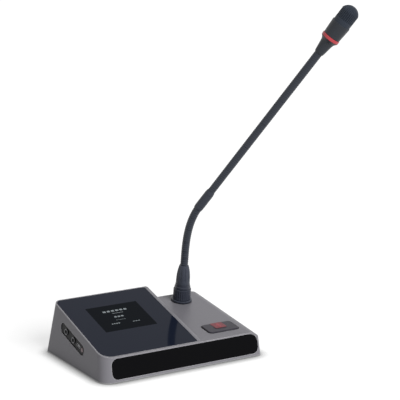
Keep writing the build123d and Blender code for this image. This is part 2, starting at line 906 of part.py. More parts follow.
# Microphone socket, clamped to the deck
socket_deck_plane = mic_plane.offset(-wall)
plug_low = flange_height - plug_spigot_length
with BuildPart() as mic_socket_flange:
    with BuildSketch(mic_plane):
        Circle(flange_radius)
        Circle(flange_bore_radius, mode=Mode.SUBTRACT)
    extrude(amount=flange_height)
    flange_top = mic_socket_flange.faces().sort_by(Axis(mic_plane.origin, mic_plane.z_dir))[-1]
    chamfer(flange_top.edges().sort_by(SortBy.RADIUS)[-1], flange_chamfer)
save(mic_socket_flange, "mic_socket_flange")

with BuildPart() as mic_socket_body:
    with BuildSketch(mic_plane):
        Circle(socket_body_radius)
        with PolarLocations(pin_circle, pin_count):
            Circle(pin_radius + pin_gap, mode=Mode.SUBTRACT)
    extrude(amount=-socket_body_length)
save(mic_socket_body, "mic_socket_body")

with BuildPart() as socket_nut:
    with BuildSketch(socket_deck_plane):
        RegularPolygon(socket_nut_radius, 6)
        Circle(socket_body_radius, mode=Mode.SUBTRACT)
    extrude(amount=-socket_nut_height)
save(socket_nut, "socket_nut")


def turned(plane, outline_points):
    # A turned piece about a plane's z axis, from (radius, height) points.
    profile_plane = Plane(plane.origin, plane.x_dir, -plane.y_dir)
    with BuildPart() as piece:
        with BuildSketch(profile_plane):
            with BuildLine():
                Polyline(*outline_points, close=True)
            make_face()
        revolve(axis=Axis(plane.origin, plane.z_dir))
    return piece.part


# Microphone plug: a knurled ring turns about its core
ring_low = flange_height + ring_gap
ring_high = flange_height + ring_height
shoulder_low = ring_high + ring_gap
neckdown_low = shoulder_low + shoulder_height
grip_low = neckdown_low + neckdown_height
grip_high = grip_low + grip_height

ring_form = turned(mic_plane, [
    (ring_radius, ring_low), (ring_radius, ring_high),
    (plug_core_radius + ring_gap, ring_high), (plug_core_radius + ring_gap, ring_low + ring_lip_height),
    (plug_lip_radius + ring_gap, ring_low + ring_lip_height), (plug_lip_radius + ring_gap, ring_low),
])
with BuildPart() as lock_ring:
    add(ring_form)
    with BuildSketch(mic_plane.offset(ring_low)):
        with PolarLocations(ring_radius, ring_flute_count):
            Circle(ring_flute_radius)
    extrude(amount=ring_height, mode=Mode.SUBTRACT)
save(lock_ring, "lock_ring")

plug_form = turned(mic_plane, [
    (0, plug_low), (plug_spigot_radius, plug_low), (plug_spigot_radius, ring_low),
    (plug_lip_radius, ring_low), (plug_lip_radius, ring_low + plug_lip_height),
    (plug_core_radius, ring_low + plug_lip_height), (plug_core_radius, shoulder_low),
    (shoulder_radius, shoulder_low), (shoulder_radius, neckdown_low),
    (neckdown_radius, neckdown_low), (neckdown_radius, grip_low), (0, grip_low),
])
with BuildPart() as plug_body:
    add(plug_form)
save(plug_body, "plug_body")

with BuildPart() as plug_pins:
    with BuildSketch(mic_plane.offset(plug_low)):
        with PolarLocations(pin_circle, pin_count):
            Circle(pin_radius)
    extrude(amount=-pin_length)
save(plug_pins, "plug_pins")

grip_narrowing = grip_base_radius - grip_top_radius
grip_form = turned(mic_plane, [(low_radius, grip_low)] + [
    (grip_base_radius - narrow_share * grip_narrowing, grip_low + height_share * grip_height)
    for height_share, narrow_share in grip_profile_shares
] + [(low_radius, grip_high)])
flute_reach = grip_base_radius - grip_flute_depth + grip_flute_radius
flute_lean = math.degrees(math.atan2(grip_narrowing, grip_height))
with BuildPart() as plug_grip:
    add(grip_form)
    for turn in range(grip_flute_count):
        spoke = mic_plane.offset(grip_low + grip_flute_low).rotated((0, 0, turn * 360 / grip_flute_count))
        flute = Plane(
            spoke.from_local_coords((flute_reach, 0, 0)), spoke.y_dir,
            spoke.z_dir * cos(flute_lean) - spoke.x_dir * sin(flute_lean),
        )
        with BuildSketch(flute):
            Circle(grip_flute_radius)
        extrude(amount=grip_height, mode=Mode.SUBTRACT)
save(plug_grip, "plug_grip")


# Gooseneck: short tubes on ball joints, followed from the grip upwards
def advanced(link, length, bend):
    # The next link's plane, further along this one and leaning by the bend.
    start = link.from_local_coords((0, 0, length))
    ahead = link.z_dir * cos(bend) + link.x_dir * sin(bend)
    return Plane(start, link.x_dir * cos(bend) - link.z_dir * sin(bend), ahead)


def neck_link(link, low, high, radius, ball, socket):
    # A tube from low to high, with a ball about zero at its low end or a seat for the next ball at its top.
    ball_radius = ball_share * radius
    seat_radius = ball_radius + ball_gap
    start = joint_clear if ball else low
    with BuildPart() as piece:
        with BuildSketch(Plane(link.origin, link.x_dir, -link.y_dir)):
            with BuildLine():
                if ball:
                    ball_low = -math.degrees(math.acos(neck_bore_radius / ball_radius))
                    ball_line = CenterArc((0, 0), ball_radius, ball_low, -ball_low)
                    Polyline(ball_line @ 1, (ball_radius, start), (radius, start), (radius, high))
                    bore_low = ball_line @ 0
                else:
                    bore_low = (neck_bore_radius, start)
                    Polyline(bore_low, (radius, start), (radius, high))
                if socket:
                    seat_floor = high - seat_radius
                    Polyline(
                        (radius, high), (seat_radius, high), (seat_radius, seat_floor),
                        (neck_bore_radius, seat_floor), bore_low,
                    )
                else:
                    Polyline((radius, high), (neck_bore_radius, high), bore_low)
            make_face()
        revolve(axis=Axis(link.origin, link.z_dir))
    return piece


# The lower neck: the first two joints swing it sideways and the others bend it, more towards the top
link = mic_plane.offset(grip_high)
save(neck_link(link, -sleeve_overlap, low_lead, low_radius, False, True), "lower_neck_1")
link = advanced(link, low_lead, 0)
low_lengths = [swing_pitch] * swing_count + [low_pitch] * (len(bend_shares) - 1)
low_bends = [0] * (swing_count - 1) + [share * rest_bend_angle for share in bend_shares]
for number, (length, bend) in enumerate(zip(low_lengths, low_bends), 2):
    save(neck_link(link, 0, length, low_radius, True, True), f"lower_neck_{number}")
    link = advanced(link, length, bend)
low_end = len(low_lengths) + 2
save(neck_link(link, 0, low_tail + sleeve_overlap, low_radius, True, False), f"lower_neck_{low_end}")

link = advanced(link, low_tail, 0)
sleeve_form = turned(link, [
    (low_radius, 0), (sleeve_radius - sleeve_edge, 0), (sleeve_radius, sleeve_edge),
    (sleeve_radius, sleeve_length - sleeve_edge), (sleeve_radius - sleeve_edge, sleeve_length),
    (high_radius, sleeve_length), (high_radius, sleeve_length - sleeve_overlap),
    (neck_bore_radius, sleeve_length - sleeve_overlap), (neck_bore_radius, sleeve_overlap),
    (low_radius, sleeve_overlap),
])
with BuildPart() as coupling_sleeve:
    add(sleeve_form)
save(coupling_sleeve, "coupling_sleeve")

# The upper neck, straight at rest
link = advanced(link, sleeve_length, 0)
save(neck_link(link, -sleeve_overlap, high_lead, high_radius, False, True), "upper_neck_1")
link = advanced(link, high_lead, 0)
for number in range(2, high_count + 1):
    save(neck_link(link, 0, high_pitch, high_radius, True, True), f"upper_neck_{number}")
    link = advanced(link, high_pitch, 0)
save(neck_link(link, 0, high_tail + cone_seat, high_radius, True, False), f"upper_neck_{high_count + 1}")

# Microphone head
head = advanced(link, high_tail, 0)
flare_start = cone_length
ring_start = flare_start + flare_length
body_start = ring_start + head_ring_height
grille_start = body_start + head_body_length
spigot_radius = head_ring_radius - head_ring_wall
cone_form = turned(head, [
    (high_radius, 0), (cone_low_radius, 0), (cone_high_radius, flare_start), (head_ring_radius, ring_start),
    (spigot_radius, ring_start), (spigot_radius, body_start + head_spigot_reach),
    (neck_bore_radius, body_start + head_spigot_reach), (neck_bore_radius, cone_seat), (high_radius, cone_seat),
])
with BuildPart() as head_cone:
    add(cone_form)
save(head_cone, "head_cone")

light_form = turned(head, [
    (spigot_radius, ring_start), (head_ring_radius, ring_start),
    (head_ring_radius, body_start), (spigot_radius, body_start),
])
with BuildPart() as light_ring:
    add(light_form)
save(light_ring, "light_ring")

body_form = turned(head, [
    (spigot_radius, body_start), (head_low_radius, body_start), (head_high_radius, grille_start),
    (head_high_radius - head_wall, grille_start), (spigot_radius, grille_start - head_wall),
])
with BuildPart() as head_body:
    add(body_form)
save(head_body, "head_body")

grille_inner = grille_radius - grille_wall


def domed(radius, height, dome_radius):
    # A round post that stands where the grille starts, with a dome on top.
    section = Plane(head.from_local_coords((0, 0, grille_start)), head.x_dir, -head.y_dir)
    dome_base = height - dome_radius
    dome_start = math.degrees(math.acos(radius / dome_radius))
    with BuildPart() as post:
        with BuildSketch(section):
            with BuildLine():
                dome = CenterArc((0, dome_base), dome_radius, dome_start, 90 - dome_start)
                Polyline(dome @ 0, (radius, 0), (0, 0), dome @ 1)
            make_face()
        revolve(axis=Axis(head.origin, head.z_dir))
    return post.part


grille_form = domed(grille_radius, grille_length, grille_dome_radius)
grille_hollow = domed(grille_inner, grille_length - grille_wall, grille_dome_radius - grille_wall)
with BuildPart() as grille_cap:
    add(grille_form)
    add(grille_hollow, mode=Mode.SUBTRACT)
    with BuildSketch(head.offset(grille_start + grille_slot_start)):
        with PolarLocations(grille_slot_inner_radius, grille_slot_count):
            Rectangle(grille_radius, grille_slot_width, align=(Align.MIN, Align.CENTER))
    extrude(amount=grille_length, mode=Mode.SUBTRACT)
save(grille_cap, "grille_cap")

with BuildPart() as mic_capsule:
    with BuildSketch(head.offset(grille_start)):
        Circle(grille_inner)
    extrude(amount=capsule_height)
    chamfer(mic_capsule.faces().sort_by(Axis(head.origin, head.z_dir))[-1].edges(), capsule_edge)
save(mic_capsule, "mic_capsule")
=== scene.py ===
import json
import math
import bpy
import bmesh
from mathutils import Matrix, Vector


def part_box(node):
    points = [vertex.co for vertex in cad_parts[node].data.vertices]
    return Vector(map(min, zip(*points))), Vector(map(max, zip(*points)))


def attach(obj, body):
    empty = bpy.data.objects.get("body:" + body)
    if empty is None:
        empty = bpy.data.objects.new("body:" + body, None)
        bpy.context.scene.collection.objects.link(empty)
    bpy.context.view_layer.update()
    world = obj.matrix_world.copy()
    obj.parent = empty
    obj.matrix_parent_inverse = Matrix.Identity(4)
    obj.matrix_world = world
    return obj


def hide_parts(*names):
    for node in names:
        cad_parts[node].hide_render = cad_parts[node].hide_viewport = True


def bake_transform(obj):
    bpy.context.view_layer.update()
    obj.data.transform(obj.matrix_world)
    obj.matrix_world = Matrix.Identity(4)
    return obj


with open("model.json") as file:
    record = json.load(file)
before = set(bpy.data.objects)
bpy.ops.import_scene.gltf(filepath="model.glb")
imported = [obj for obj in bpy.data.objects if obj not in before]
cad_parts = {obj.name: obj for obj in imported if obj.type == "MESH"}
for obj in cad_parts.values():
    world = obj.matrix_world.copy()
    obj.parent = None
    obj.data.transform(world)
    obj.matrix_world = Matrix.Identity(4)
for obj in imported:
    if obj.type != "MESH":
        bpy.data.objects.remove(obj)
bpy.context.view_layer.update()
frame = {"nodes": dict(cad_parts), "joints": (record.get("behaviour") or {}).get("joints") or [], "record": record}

mm = 0.001

# Places that the frame gives
joints = {j["name"]: j for j in frame["joints"]}
neckJoints = [j for j in frame["joints"] if "_bend_" in j["name"] or "_swing_" in j["name"]]
hinges = [Vector(j["pos_m"]) for j in neckJoints]
deckUp = Vector(joints["mic_plug_pull"]["axis"]).normalized()
micFoot = Vector(joints["lock_ring_turn"]["pos_m"])  # where the plug's axis meets the deck
bendAxis = Vector(joints["lower_bend_1"]["axis"]).normalized()
lowerCount = sum(j["name"].startswith("lower_") for j in neckJoints)
armFoot = hinges[lowerCount - 1]  # the last hinge of the lower neck, where the straight arm starts
armUp = (hinges[lowerCount] - armFoot).normalized()
headFoot = hinges[-1]
headUp = (headFoot - hinges[-2]).normalized()


def heightsAlong(nodeName, foot, up):
    # the lowest and highest point of a node along an axis
    heights = [(vertex.co - foot).dot(up) for vertex in frame["nodes"][nodeName].data.vertices]
    return min(heights), max(heights)


def axisPlace(foot, up, aside, height=0.0):
    # a frame that stands at a height on an axis, its z along the axis and its x towards aside
    across = (aside - up * aside.dot(up)).normalized()
    turn = Matrix((across, up.cross(across), up)).transposed().to_4x4()
    return Matrix.Translation(foot + up * height) @ turn


def topFacing(nodeName, leastUpward=0.7):
    # the middle of a node's box moved onto its upper face, and that face's normal
    mesh = frame["nodes"][nodeName].data
    up = Vector((0, 0, 0))
    for polygon in mesh.polygons:
        if polygon.normal.z > leastUpward:
            up += polygon.normal * polygon.area
    up.normalize()
    low, high = (Vector(corner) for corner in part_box(nodeName))
    middle = (low + high) / 2
    level = max((vertex.co - middle).dot(up) for vertex in mesh.vertices)
    return middle + up * level, up


cameraView = {
    "place": (-0.7885, -1.3760, 0.5235),
    "yaw": -31.6545,
    "pitch": 12.416,
    "roll": 0.2564,
    "lens": 134.17,
    "sensorWidth": 36,
}


def makeCamera(view):
    yaw, pitch, roll = (math.radians(view[k]) for k in ("yaw", "pitch", "roll"))
    right = Vector((math.cos(yaw), math.sin(yaw), 0))
    back = Vector((math.sin(yaw) * math.cos(pitch), -math.cos(yaw) * math.cos(pitch), math.sin(pitch)))
    up = back.cross(right)
    across = right * math.cos(roll) + up * math.sin(roll)
    upward = up * math.cos(roll) - right * math.sin(roll)
    data = bpy.data.cameras.new("photoCamera")
    data.lens = view["lens"]
    data.sensor_width = view["sensorWidth"]
    camera = bpy.data.objects.new("photoCamera", data)
    camera.matrix_world = Matrix.Translation(view["place"]) @ Matrix((across, upward, back)).transposed().to_4x4()
    bpy.context.scene.collection.objects.link(camera)
    bpy.context.scene.camera = camera


makeCamera(cameraView)
print("camera placed")

# Node groups

def newGroup(name, inputs, outputs):
    group = bpy.data.node_groups.new(name, "ShaderNodeTree")
    for label, kind, value in inputs:
        socket = group.interface.new_socket(name=label, in_out="INPUT", socket_type=kind)
        socket.default_value = value
    for label, kind in outputs:
        group.interface.new_socket(name=label, in_out="OUTPUT", socket_type=kind)
    start = group.nodes.new("NodeGroupInput")
    end = group.nodes.new("NodeGroupOutput")
    return group, start, end


def mathNode(nodes, links, operation, first, second=None, clamp=False):
    node = nodes.new("ShaderNodeMath")
    node.operation = operation
    node.use_clamp = clamp
    for i, value in enumerate((first, second)):
        if isinstance(value, (int, float)):
            node.inputs[i].default_value = value
        elif value is not None:
            links.new(value, node.inputs[i])
    return node.outputs[0]


grainNoise = {"size": 2500.0, "detail": 3.0, "pitShare": 0.5}


def makeGrainGroup():
    # fine blasted or moulded grain: a height for bumps and a speckle that changes over the surface
    group, start, end = newGroup(
        "surfaceGrain",
        [("Size", "NodeSocketFloat", grainNoise["size"]), ("Detail", "NodeSocketFloat", grainNoise["detail"])],
        [("Height", "NodeSocketFloat"), ("Speckle", "NodeSocketFloat")],
    )
    nodes, links = group.nodes, group.links
    place = nodes.new("ShaderNodeTexCoord")
    grain = nodes.new("ShaderNodeTexNoise")
    links.new(place.outputs["Object"], grain.inputs["Vector"])
    links.new(start.outputs["Size"], grain.inputs["Scale"])
    links.new(start.outputs["Detail"], grain.inputs["Detail"])
    pits = nodes.new("ShaderNodeTexVoronoi")
    links.new(place.outputs["Object"], pits.inputs["Vector"])
    links.new(start.outputs["Size"], pits.inputs["Scale"])
    mixed = mathNode(nodes, links, "MULTIPLY", pits.outputs["Distance"], grainNoise["pitShare"])
    links.new(mathNode(nodes, links, "ADD", grain.outputs["Fac"], mixed), end.inputs["Height"])
    links.new(grain.outputs["Fac"], end.inputs["Speckle"])
    return group


wearAndHighlightNoise = {"width": 0.0008, "amount": 1.0, "samples": 4, "size": 160, "detail": 4, "gain": 6.0}


def makeWearAndHighlightGroup():
    # a mask that is bright along edges, broken up by noise: rubbed wear, and a painted highlight along the edges
    group, start, end = newGroup(
        "edgeWearAndHighlight",
        [("Width", "NodeSocketFloat", wearAndHighlightNoise["width"]), ("Amount", "NodeSocketFloat", wearAndHighlightNoise["amount"])],
        [("Mask", "NodeSocketFloat")],
    )
    nodes, links = group.nodes, group.links
    rounded = nodes.new("ShaderNodeBevel")
    rounded.samples = wearAndHighlightNoise["samples"]
    links.new(start.outputs["Width"], rounded.inputs["Radius"])
    plain = nodes.new("ShaderNodeNewGeometry")
    facing = nodes.new("ShaderNodeVectorMath")
    facing.operation = "DOT_PRODUCT"
    links.new(rounded.outputs["Normal"], facing.inputs[0])
    links.new(plain.outputs["Normal"], facing.inputs[1])
    turnedAway = mathNode(nodes, links, "SUBTRACT", 1.0, facing.outputs["Value"])
    place = nodes.new("ShaderNodeTexCoord")
    breakup = nodes.new("ShaderNodeTexNoise")
    breakup.inputs["Scale"].default_value = wearAndHighlightNoise["size"]
    breakup.inputs["Detail"].default_value = wearAndHighlightNoise["detail"]
    links.new(place.outputs["Object"], breakup.inputs["Vector"])
    scaled = mathNode(nodes, links, "MULTIPLY", turnedAway, breakup.outputs["Fac"])
    scaled = mathNode(nodes, links, "MULTIPLY", scaled, wearAndHighlightNoise["gain"])
    links.new(mathNode(nodes, links, "MULTIPLY", scaled, start.outputs["Amount"], clamp=True), end.inputs["Mask"])
    return group


patchNoise = {"size": 35.0, "strength": 0.1, "detail": 5, "distortion": 0.6}


def makeSmudgeGroup():
    # broad, soft patches where hands and cloths have passed
    group, start, end = newGroup(
        "handledPatches",
        [("Size", "NodeSocketFloat", patchNoise["size"]), ("Strength", "NodeSocketFloat", patchNoise["strength"])],
        [("Mask", "NodeSocketFloat")],
    )
    nodes, links = group.nodes, group.links
    place = nodes.new("ShaderNodeTexCoord")
    patch = nodes.new("ShaderNodeTexNoise")
    patch.inputs["Detail"].default_value = patchNoise["detail"]
    patch.inputs["Distortion"].default_value = patchNoise["distortion"]
    links.new(place.outputs["Object"], patch.inputs["Vector"])
    links.new(start.outputs["Size"], patch.inputs["Scale"])
    centred = mathNode(nodes, links, "SUBTRACT", patch.outputs["Fac"], 0.5)
    links.new(mathNode(nodes, links, "MULTIPLY", centred, start.outputs["Strength"]), end.inputs["Mask"])
    return group


grainGroup = makeGrainGroup()
wearAndHighlightGroup = makeWearAndHighlightGroup()
smudgeGroup = makeSmudgeGroup()


# What a finish has where its own dictionary says nothing; the width of the lighter edges (wear and painted highlight)
# and bumpDepth are in mm
plainLook = {
    "metallic": 0.0, "roughness": 0.5, "specular": 0.5, "coat": 0.0, "coatRoughness": 0.1, "sheen": 0.0,
    "grainSize": 2500.0, "speckle": 0.15, "bump": 0.2, "bumpDepth": 0.03, "toneSpread": 0.12,
    "patches": 0.12, "patchSize": 35.0, "wearAndHighlight": 0.0, "wearAndHighlightWidth": 0.7,
}


def makeFinish(name, ownLook):
    # one finish from its dictionary: base colour, the lighter colour of its edges (rubbed wear and a painted
    # highlight), grain, patches, and what the shader takes plainly
    look = {**plainLook, "wornAndLitColour": ownLook["colour"], **ownLook}
    material = bpy.data.materials.new(name)
    material.use_nodes = True
    nodes, links = material.node_tree.nodes, material.node_tree.links
    shader = nodes["Principled BSDF"]
    shader.inputs["Metallic"].default_value = look["metallic"]
    shader.inputs["Specular IOR Level"].default_value = look["specular"]
    shader.inputs["Coat Weight"].default_value = look["coat"]
    shader.inputs["Coat Roughness"].default_value = look["coatRoughness"]
    shader.inputs["Sheen Weight"].default_value = look["sheen"]
    if "glow" in look:
        shader.inputs["Emission Color"].default_value = (*look["colour"], 1)
        shader.inputs["Emission Strength"].default_value = look["glow"]

    grain = nodes.new("ShaderNodeGroup")
    grain.node_tree = grainGroup
    grain.inputs["Size"].default_value = look["grainSize"]
    patches = nodes.new("ShaderNodeGroup")
    patches.node_tree = smudgeGroup
    patches.inputs["Size"].default_value = look["patchSize"]
    patches.inputs["Strength"].default_value = look["patches"]
    wearAndHighlight = nodes.new("ShaderNodeGroup")
    wearAndHighlight.node_tree = wearAndHighlightGroup
    wearAndHighlight.inputs["Width"].default_value = look["wearAndHighlightWidth"] * mm
    wearAndHighlight.inputs["Amount"].default_value = look["wearAndHighlight"]

    tone = nodes.new("ShaderNodeMix")
    tone.data_type = "RGBA"
    for socket, share in (("A", 1 - look["toneSpread"]), ("B", 1 + look["toneSpread"])):
        tone.inputs[socket].default_value = (*[min(1, c * share) for c in look["colour"]], 1)
    links.new(grain.outputs["Speckle"], tone.inputs["Factor"])
    # lighter edges: rubbed wear, and a painted highlight along the edges
    wornAndLit = nodes.new("ShaderNodeMix")
    wornAndLit.data_type = "RGBA"
    wornAndLit.inputs["B"].default_value = (*look["wornAndLitColour"], 1)
    links.new(wearAndHighlight.outputs["Mask"], wornAndLit.inputs["Factor"])
    links.new(tone.outputs["Result"], wornAndLit.inputs["A"])
    links.new(wornAndLit.outputs["Result"], shader.inputs["Base Color"])

    rough = mathNode(nodes, links, "ADD", patches.outputs["Mask"], look["roughness"])
    speckled = mathNode(nodes, links, "SUBTRACT", grain.outputs["Speckle"], 0.5)
    speckled = mathNode(nodes, links, "MULTIPLY", speckled, look["speckle"])
    links.new(mathNode(nodes, links, "ADD", rough, speckled, clamp=True), shader.inputs["Roughness"])

    bump = nodes.new("ShaderNodeBump")
    bump.inputs["Strength"].default_value = look["bump"]
    bump.inputs["Distance"].default_value = look["bumpDepth"] * mm
    links.new(grain.outputs["Height"], bump.inputs["Height"])
    links.new(bump.outputs["Normal"], shader.inputs["Normal"])
    return material


finishes = {
    "satinHousing": {
        "colour": (0.154, 0.150, 0.165), "metallic": 0.1, "roughness": 0.42, "specular": 0.25, "grainSize": 3200,
        # its lighter edge colour is partly a painted highlight, such as the bright line along the rim of the glass,
        # and partly rubbed wear
        "bump": 0.25, "speckle": 0.2, "patches": 0.05, "wearAndHighlight": 1.2, "wornAndLitColour": (0.42, 0.415, 0.43),
        "wearAndHighlightWidth": 0.9,
    },
    "coverPlastic": {"colour": (0.020, 0.020, 0.022), "roughness": 0.6, "grainSize": 1500, "bump": 0.5},
    "padRubber": {"colour": (0.015, 0.015, 0.015), "roughness": 0.85, "grainSize": 900, "bump": 0.4, "sheen": 0.2},
    "screwSteel": {"colour": (0.42, 0.42, 0.43), "metallic": 1.0, "roughness": 0.35, "bump": 0.1},
    "glassBorder": {
        "colour": (0.0066, 0.0092, 0.0185), "roughness": 0.08, "specular": 0.07, "patches": 0.05, "speckle": 0.01,
        "bump": 0.0, "patchSize": 25,
    },
    "displayPane": {
        "colour": (0.0016, 0.0028, 0.0048), "roughness": 0.1, "specular": 0.02, "patches": 0.04, "speckle": 0.01,
        "bump": 0.0,
    },
    "displayMark": {"colour": (0.17, 0.19, 0.20), "roughness": 0.4, "specular": 0.1, "bump": 0.0, "glow": 0.1},
    "fasciaBlack": {
        "colour": (0.0026, 0.0026, 0.0031), "roughness": 0.12, "specular": 0.03, "patches": 0.05, "speckle": 0.02,
        "bump": 0.0,
    },
    "stripBlack": {
        "colour": (0.004, 0.004, 0.005), "roughness": 0.35, "specular": 0.08, "grainSize": 2600, "bump": 0.2,
    },
    "jackChrome": {"colour": (0.10, 0.10, 0.105), "metallic": 1.0, "roughness": 0.12, "patches": 0.02, "bump": 0.0},
    "jackBlack": {"colour": (0.004, 0.004, 0.004), "roughness": 0.35, "specular": 0.12, "bump": 0.1},
    "portSteel": {"colour": (0.24, 0.24, 0.25), "metallic": 1.0, "roughness": 0.3, "bump": 0.1},
    "keyGrey": {"colour": (0.22, 0.16, 0.17), "roughness": 0.5, "bump": 0.1},
    "boardGreen": {"colour": (0.01, 0.07, 0.03), "roughness": 0.35, "bump": 0.2},
    "chipBlack": {"colour": (0.01, 0.01, 0.01), "roughness": 0.55, "bump": 0.3},
    "framePlastic": {"colour": (0.03, 0.03, 0.032), "roughness": 0.6, "bump": 0.3},
    "buttonGrey": {
        "colour": (0.030, 0.028, 0.036), "roughness": 0.42, "specular": 0.2, "grainSize": 3000, "bump": 0.25,
        "patches": 0.1, "wearAndHighlight": 0.5, "wornAndLitColour": (0.10, 0.095, 0.105), "wearAndHighlightWidth": 0.5,
    },
    "bezelBlack": {"colour": (0.008, 0.008, 0.010), "roughness": 0.5, "specular": 0.3, "bump": 0.2},
    "lampRed": {
        "colour": (0.150, 0.024, 0.032), "roughness": 0.38, "specular": 0.2, "bump": 0.05, "speckle": 0.05,
    },
    "lampSign": {
        "colour": (0.24, 0.028, 0.040), "roughness": 0.35, "specular": 0.2, "bump": 0.0, "speckle": 0.05, "glow": 0.1,
    },
    "ringRed": {
        "colour": (0.36, 0.026, 0.036), "roughness": 0.25, "coat": 0.25, "bump": 0.02, "speckle": 0.05, "glow": 0.10,
    },
    "micSatin": {
        "colour": (0.021, 0.0245, 0.036), "metallic": 0.15, "roughness": 0.38, "specular": 0.4, "grainSize": 4000,
        "bump": 0.2, "wearAndHighlight": 0.6, "wornAndLitColour": (0.085, 0.09, 0.105), "wearAndHighlightWidth": 0.4,
    },
    "neckMetal": {
        "colour": (0.022, 0.026, 0.036), "metallic": 0.2, "roughness": 0.38, "specular": 0.4, "grainSize": 4000,
        "bump": 0.15,
    },
    "gripRubber": {
        "colour": (0.022, 0.026, 0.038), "roughness": 0.5, "specular": 0.4, "grainSize": 1800, "bump": 0.35,
        "sheen": 0.1,
    },
    "headPlastic": {
        "colour": (0.017, 0.020, 0.026), "roughness": 0.4, "specular": 0.35, "grainSize": 3600, "bump": 0.25,
        "wearAndHighlight": 0.15, "wornAndLitColour": (0.05, 0.055, 0.062), "wearAndHighlightWidth": 0.3,
    },
    "grilleMetal": {
        "colour": (0.0215, 0.0275, 0.039), "metallic": 0.1, "roughness": 0.5, "specular": 0.28, "grainSize": 2600,
        "bump": 0.6, "bumpDepth": 0.06, "wearAndHighlight": 0.2, "wornAndLitColour": (0.05, 0.056, 0.066), "wearAndHighlightWidth": 0.2,
    },
    "socketNickel": {"colour": (0.45, 0.44, 0.42), "metallic": 1.0, "roughness": 0.3, "bump": 0.1},
    "pinGold": {"colour": (0.75, 0.50, 0.16), "metallic": 1.0, "roughness": 0.25, "bump": 0.05},
    "capsuleMesh": {"colour": (0.20, 0.20, 0.20), "metallic": 0.8, "roughness": 0.45, "grainSize": 900, "bump": 0.8},
}
finish = {name: makeFinish(name, look) for name, look in finishes.items()}
print("finishes made:", len(finish))

# CAD nodes that show as they are: their finish, and how wide their edges are softened in mm
nodeFinish = {
    "top_housing": ("satinHousing", 0.5),
    "bottom_cover": ("coverPlastic", 0.3),
    "base_pad": ("padRubber", 0.2),
    "cover_screws": ("screwSteel", 0.15),
    "frame_screws": ("screwSteel", 0.15),
    "board_screws": ("screwSteel", 0.15),
    "display_panel": ("chipBlack", 0),
    "display_frame": ("framePlastic", 0),
    "front_fascia": ("fasciaBlack", 0.2),
    "side_port_strip": ("stripBlack", 0.15),
    "headphone_jack_rear": ("jackBlack", 0.15),
    "headphone_jack_front": ("jackBlack", 0.15),
    "service_port": ("portSteel", 0.05),
    "side_key": ("keyGrey", 0.2),
    "side_board": ("boardGreen", 0),
    "side_switch": ("chipBlack", 0),
    "main_board": ("boardGreen", 0),
    "board_chips": ("chipBlack", 0.2),
    "rear_socket_in": ("jackBlack", 0.2),
    "rear_socket_out": ("jackBlack", 0.2),
    "button_bezel": ("bezelBlack", 0.15),
    "talk_button": ("buttonGrey", 0.25),
    "button_board": ("boardGreen", 0),
    "talk_switch": ("chipBlack", 0),
    "switch_plunger": ("chipBlack", 0),
    "mic_socket_body": ("socketNickel", 0),
    "socket_nut": ("socketNickel", 0.3),
    "plug_pins": ("pinGold", 0),
    "mic_capsule": ("capsuleMesh", 0.2),
    "glass_panel": ("glassBorder", 0.1),
}


softEdge = {
    "weldReach": 0.002,  # mm
    "segments": 2,
    "sharpest": 35,  # degrees between two faces from which their edge is softened
    "faceWeight": 75,
}


def dressNode(nodeName, finishName, edge):
    node = frame["nodes"][nodeName]
    node.data.materials.clear()
    node.data.materials.append(finish[finishName])
    if edge:
        weld = node.modifiers.new("joinFaces", "WELD")
        weld.merge_threshold = softEdge["weldReach"] * mm
        soften = node.modifiers.new("softEdge", "BEVEL")
        soften.width = edge * mm
        soften.segments = softEdge["segments"]
        soften.limit_method = "ANGLE"
        soften.angle_limit = math.radians(softEdge["sharpest"])
        soften.harden_normals = False
        weighted = node.modifiers.new("faceWeights", "WEIGHTED_NORMAL")
        weighted.keep_sharp = True
        weighted.weight = softEdge["faceWeight"]


for nodeName, (finishName, edge) in nodeFinish.items():
    dressNode(nodeName, finishName, edge)
print("CAD nodes dressed")


sameCorner = 1e-7  # corners nearer than this, in metres, become one


def addPiece(name, corners, faces, finishName, body=None, stands=(), smooth=True):
    # a new mesh piece: points in metres, its finish, its body and the nodes it stands for
    mesh = bpy.data.meshes.new(name)
    mesh.from_pydata(corners, [], faces)
    mesh.materials.append(finish[finishName])
    shape = bmesh.new()
    shape.from_mesh(mesh)
    bmesh.ops.remove_doubles(shape, verts=shape.verts, dist=sameCorner)
    bmesh.ops.recalc_face_normals(shape, faces=shape.faces)
    shape.to_mesh(mesh)
    shape.free()
    piece = bpy.data.objects.new(name, mesh)
    bpy.context.scene.collection.objects.link(piece)
    if smooth:
        mesh.shade_smooth()
        weighted = piece.modifiers.new("faceWeights", "WEIGHTED_NORMAL")
        weighted.keep_sharp = True
    if body:
        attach(piece, body)
    if stands:
        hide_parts(*stands)
    return piece


def softOutline(corners, closed=False, steps=4):
    # (radius, height, rounding) corners in mm to an outline whose corners are rounded
    outline = []
    count = len(corners)
    for i, (radius, height, rounding) in enumerate(corners):
        here = Vector((radius, height))
        inside = closed or 0 < i < count - 1
        if not rounding or not inside:
            outline.append(here)
            continue
        before = (Vector(corners[i - 1][:2]) - here).normalized() * rounding
        after = (Vector(corners[(i + 1) % count][:2]) - here).normalized() * rounding
        for step in range(steps + 1):
            t = step / steps
            outline.append(here + before * (1 - t) ** 2 + after * t ** 2)
    return outline


def dividedOutline(outline, longest):
    # the same outline with points on its long runs, so that what is carved into it has room
    divided = []
    for a, b in zip(outline, outline[1:]):
        parts = max(1, math.ceil((b - a).length / longest))
        divided += [a.lerp(b, i / parts) for i in range(parts)]
    return divided + [outline[-1]]


